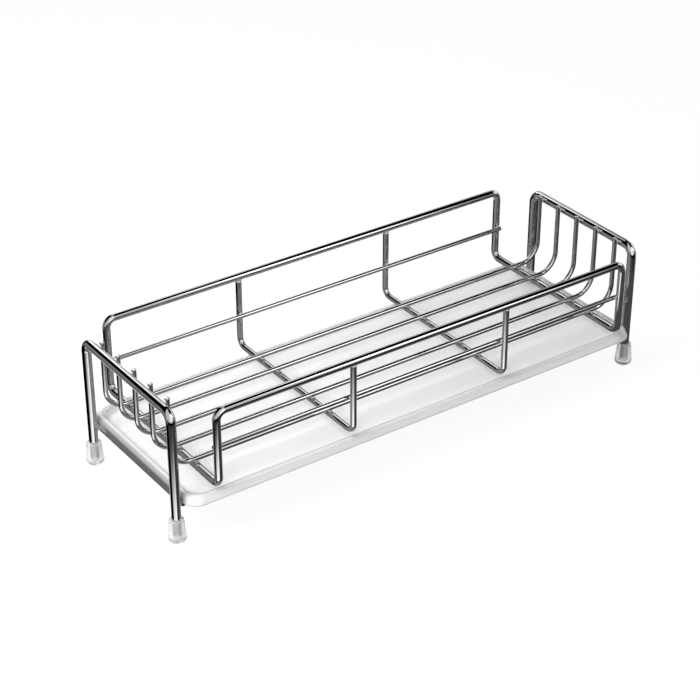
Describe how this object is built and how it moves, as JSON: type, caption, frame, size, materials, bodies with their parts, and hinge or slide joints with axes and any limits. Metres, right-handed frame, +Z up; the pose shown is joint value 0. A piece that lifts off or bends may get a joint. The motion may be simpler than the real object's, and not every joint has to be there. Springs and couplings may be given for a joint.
{
  "type": "sink drainer",
  "caption": "Welded wire sink drainer: an open rectangular basket between legged end frames with soft feet, over a shallow frosted drip tray that slides out.",
  "frame": {"origin": "on the counter, under the middle of the rack", "axes": "+X along the rack to the right end, +Y to the back, +Z up"},
  "size_m": [0.3656, 0.1342, 0.0924],
  "materials": {
    "frame_steel": "bright polished round rod with faint lengthwise polishing lines",
    "hoop_steel": "bright polished round rod",
    "rib_steel": "bright polished round rod",
    "thin_wire_steel": "bright polished drawn wire",
    "frosted_plastic": "frosted translucent moulded sheet, satin",
    "soft_clear_plastic": "milky translucent soft moulding"
  },
  "bodies": {
    "rack": {"left_end_frame": "frame_steel", "right_end_frame": "frame_steel", "basket_hoop": "hoop_steel", "left_rib": "rib_steel", "right_rib": "rib_steel", "long_wire_1": "thin_wire_steel", "long_wire_2": "thin_wire_steel", "long_wire_3": "thin_wire_steel", "long_wire_4": "thin_wire_steel", "long_wire_5": "thin_wire_steel", "front_side_rail": "thin_wire_steel", "back_side_rail": "thin_wire_steel", "left_tray_bar": "rib_steel", "right_tray_bar": "rib_steel", "foot_front_left": "soft_clear_plastic", "foot_front_right": "soft_clear_plastic", "foot_back_left": "soft_clear_plastic", "foot_back_right": "soft_clear_plastic"},
    "tray": {"drip_tray": "frosted_plastic"}
  },
  "joints": [
    {"name": "tray_slide", "type": "slide", "parent": "rack", "child": "tray", "axis": [0, -1, 0], "range_m": [-0.135, 0.135]}
  ]
}
